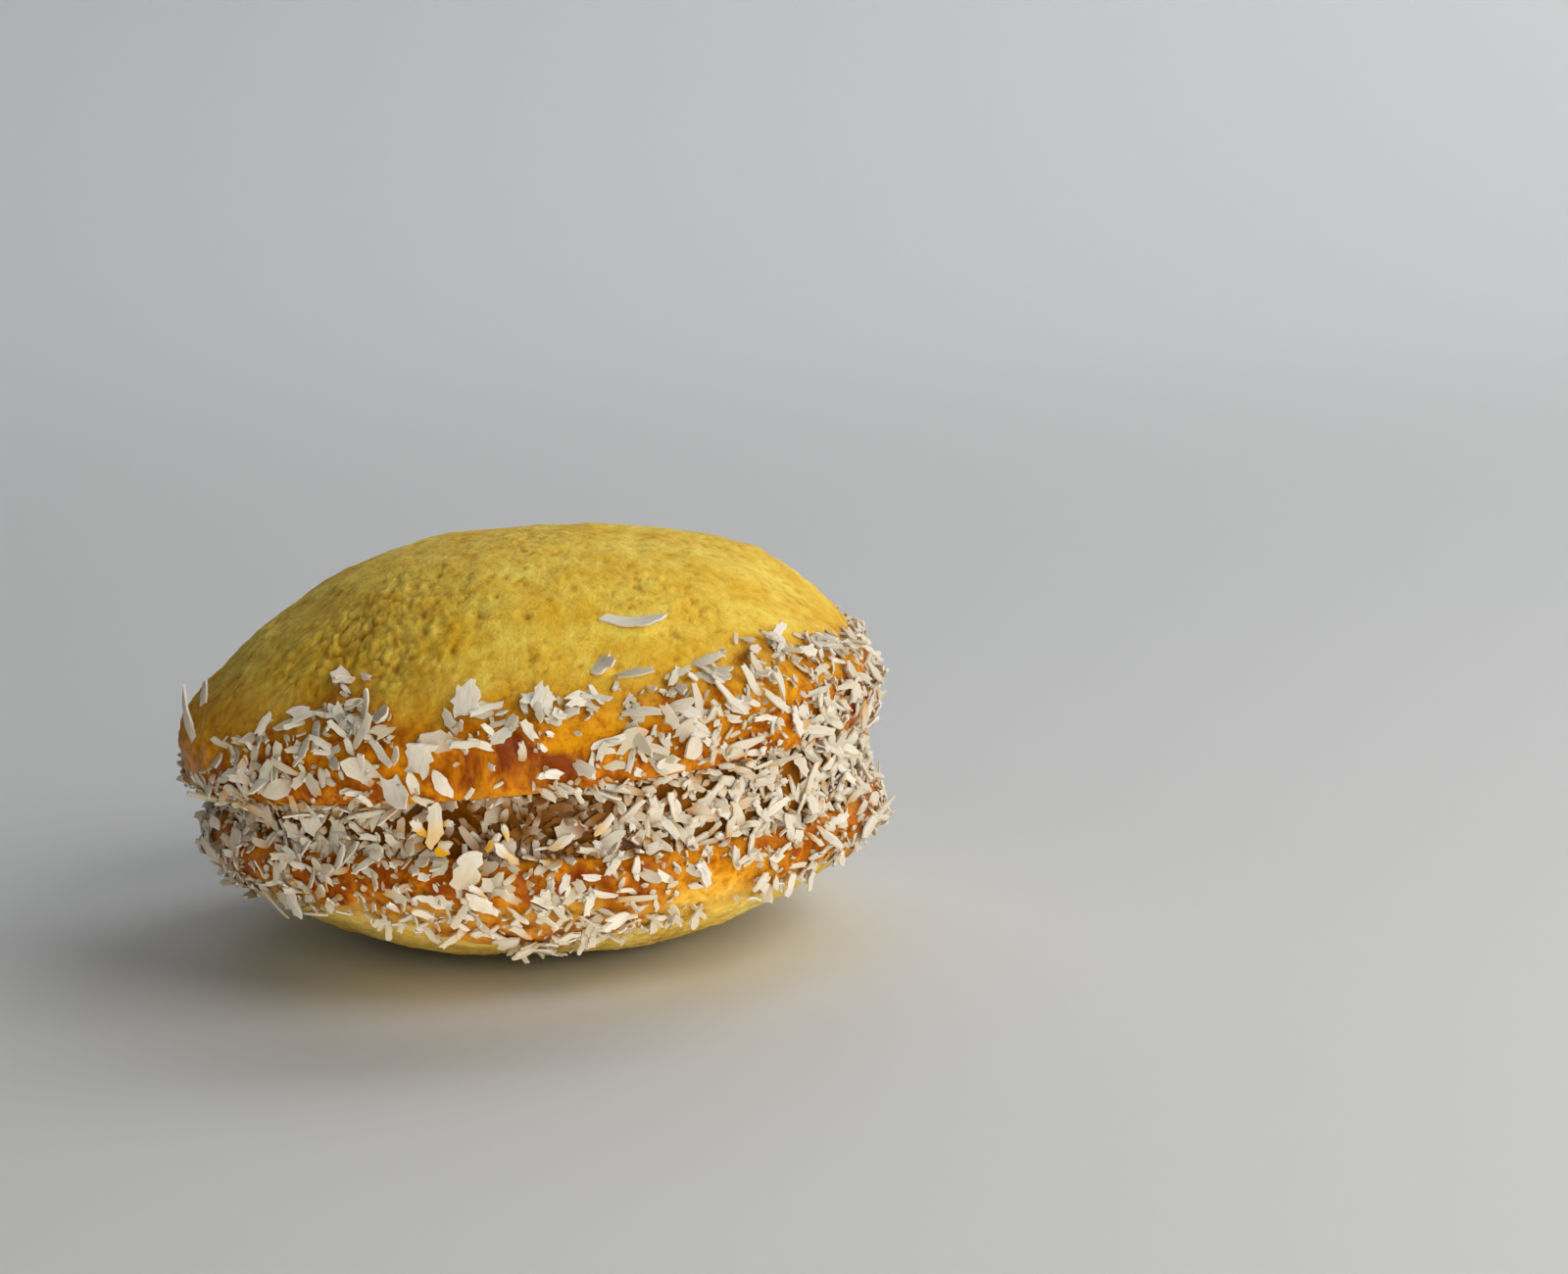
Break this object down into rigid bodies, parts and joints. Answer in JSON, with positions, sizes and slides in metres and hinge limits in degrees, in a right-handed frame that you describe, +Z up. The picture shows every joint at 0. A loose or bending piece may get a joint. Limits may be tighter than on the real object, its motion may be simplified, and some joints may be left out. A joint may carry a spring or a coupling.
{
  "type": "alfajor cookie",
  "caption": "Round sandwich biscuit: a domed and a shallow bowl-shaped yellow crust with a wedge of milk caramel between them, edged with coconut flakes.",
  "frame": {"origin": "Middle of the footprint, on the surface that the alfajor rests on.", "axes": "+Z up, through the stack of biscuit, caramel and biscuit. The front, where the gap between the biscuits is wide, faces -Y, and +X is to the right seen from the front. Metres."},
  "size_m": [0.0598, 0.0592, 0.0351],
  "materials": {
    "crust": "matte baked cornflour crust, yellow, toasted orange-brown towards the rim",
    "caramel": "glossy thick milk caramel",
    "coconut": "matte off-white dried coconut flakes"
  },
  "bodies": {
    "root": {"bottom_biscuit": "crust", "filling": "caramel", "top_biscuit": "crust"}
  },
  "joints": []
}
